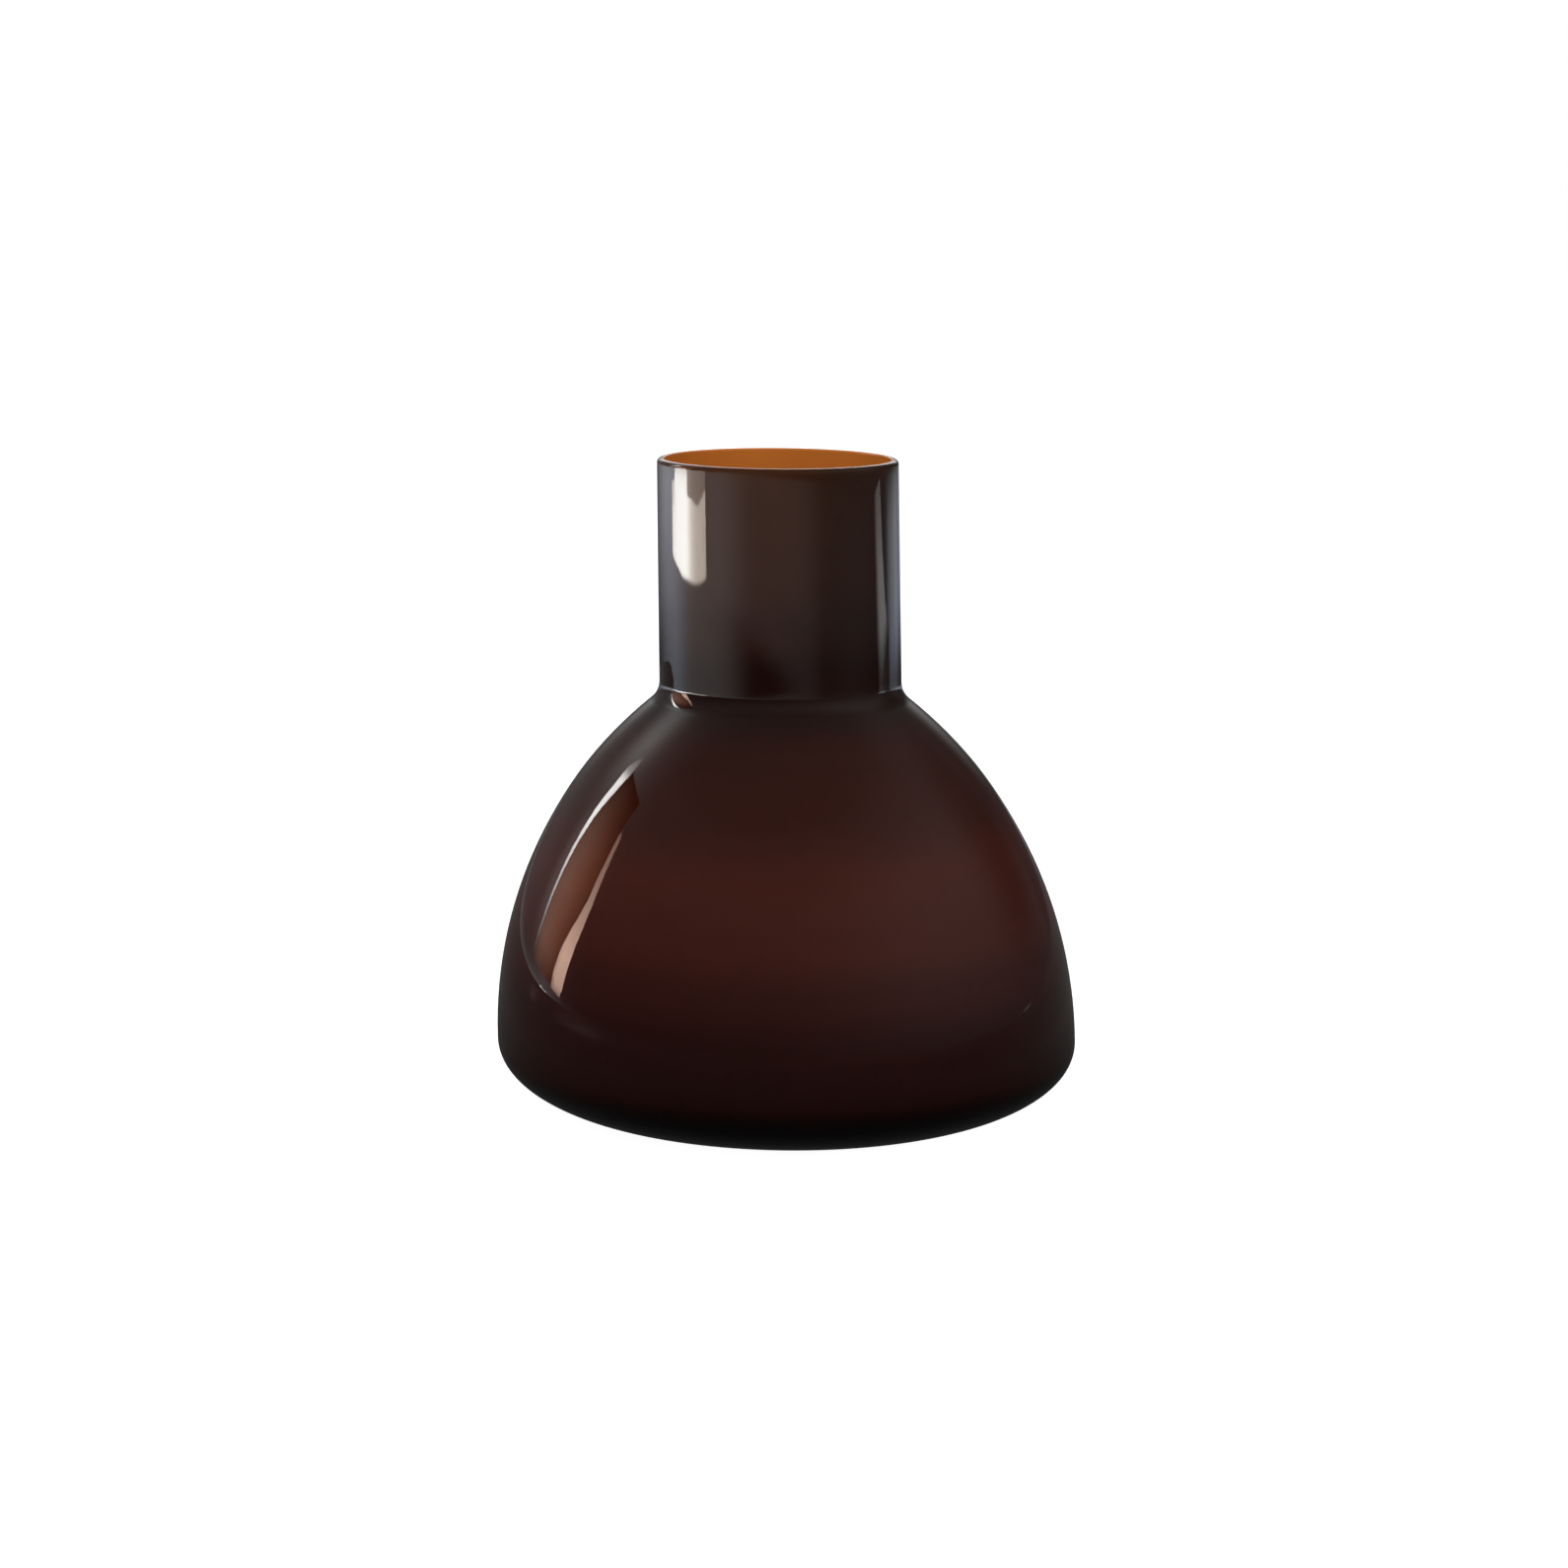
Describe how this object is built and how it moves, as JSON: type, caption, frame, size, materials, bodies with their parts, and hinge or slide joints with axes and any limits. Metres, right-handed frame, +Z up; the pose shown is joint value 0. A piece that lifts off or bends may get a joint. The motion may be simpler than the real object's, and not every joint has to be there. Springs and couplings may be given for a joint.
{
  "type": "glass vase",
  "caption": "Blown glass vase with a domed body, a wide straight neck and a thick base, in smoke glass cased over amber glass.",
  "frame": {"origin": "centre of the base, on the surface that the vase stands on", "axes": "+Z up along the vase's axis of revolution; X and Y are any two level directions at a right angle"},
  "size_m": [0.16, 0.16, 0.178],
  "materials": {
    "smoke_glass": "clear neutral grey glass, fire-polished",
    "amber_glass": "translucent orange-brown glass, fire-polished"
  },
  "bodies": {
    "root": {"smoke_glass_casing": "smoke_glass", "amber_glass_lining": "amber_glass"}
  },
  "joints": []
}
